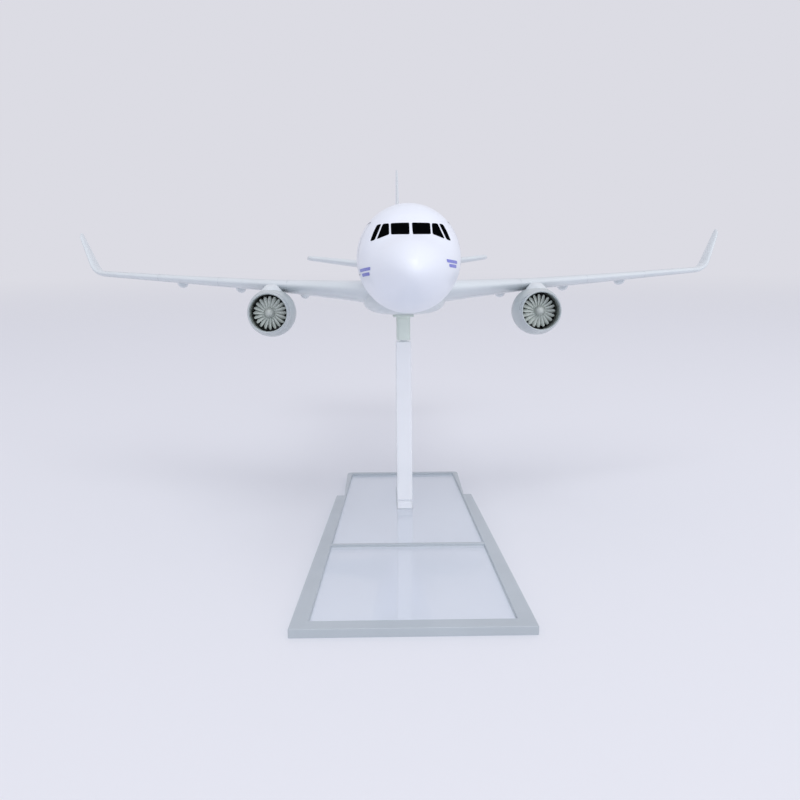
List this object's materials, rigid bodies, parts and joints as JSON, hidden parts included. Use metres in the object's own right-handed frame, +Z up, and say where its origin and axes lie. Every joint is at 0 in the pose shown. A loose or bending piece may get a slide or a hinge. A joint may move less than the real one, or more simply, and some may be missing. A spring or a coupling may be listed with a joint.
{
  "type": "desktop airliner model",
  "caption": "Desk model of a short-haul twin-jet airliner with upturned wing tips and spinning engine fans, resting nose-up on a clear blade and tapered clear base.",
  "frame": {"origin": "centre of the base's flat underside, on the desk", "axes": "+Z up, nose towards -Y, the aircraft's port side on +X"},
  "size_m": [0.1532, 0.1604, 0.0781],
  "materials": {
    "gloss_white_paint": "high gloss white enamel",
    "light_grey_paint": "satin light grey enamel",
    "nacelle_grey": "satin moulded grey plastic",
    "intake_lip_grey": "satin grey plastic with a faint metal sheen",
    "fan_grey": "satin moulded grey plastic",
    "dark_grey": "matt dark grey plastic",
    "steel": "zinc-plated steel",
    "socket_grey": "pale grey moulded plastic",
    "clear_acrylic": "polished clear acrylic"
  },
  "bodies": {
    "base": {"display_base": "clear_acrylic"},
    "blade": {"stand_blade": "clear_acrylic"},
    "aircraft": {"fuselage": "gloss_white_paint", "belly_fairing": "light_grey_paint", "stand_socket": "socket_grey", "fin": "gloss_white_paint", "belly_screw_front": "steel", "belly_screw_rear": "steel", "wing_port": "light_grey_paint", "tailplane_port": "light_grey_paint", "pylon_port": "light_grey_paint", "intake_lip_port": "intake_lip_grey", "nacelle_cowl_port": "nacelle_grey", "engine_core_port": "dark_grey", "exhaust_plug_port": "dark_grey", "fan_pin_port": "steel", "wing_starboard": "light_grey_paint", "tailplane_starboard": "light_grey_paint", "pylon_starboard": "light_grey_paint", "intake_lip_starboard": "intake_lip_grey", "nacelle_cowl_starboard": "nacelle_grey", "engine_core_starboard": "dark_grey", "exhaust_plug_starboard": "dark_grey", "fan_pin_starboard": "steel"},
    "fan_rotor_port": {"fan_port": "fan_grey", "spinner_port": "fan_grey"},
    "fan_rotor_starboard": {"fan_starboard": "fan_grey", "spinner_starboard": "fan_grey"}
  },
  "joints": [
    {"name": "blade_lift", "type": "slide", "parent": "base", "child": "blade", "axis": [0, 0, 1], "range_m": [0, 0.006]},
    {"name": "aircraft_lift", "type": "slide", "parent": "blade", "child": "aircraft", "axis": [0, 0.0872, 0.9962], "range_m": [0, 0.012]},
    {"name": "fan_port_spin", "type": "hinge", "parent": "aircraft", "child": "fan_rotor_port", "pos_m": [0.0267, 0.0084, 0.04425], "axis": [0, 0.9962, -0.0872], "continuous": true},
    {"name": "fan_starboard_spin", "type": "hinge", "parent": "aircraft", "child": "fan_rotor_starboard", "pos_m": [-0.0267, 0.0084, 0.04425], "axis": [0, 0.9962, -0.0872], "continuous": true}
  ]
}
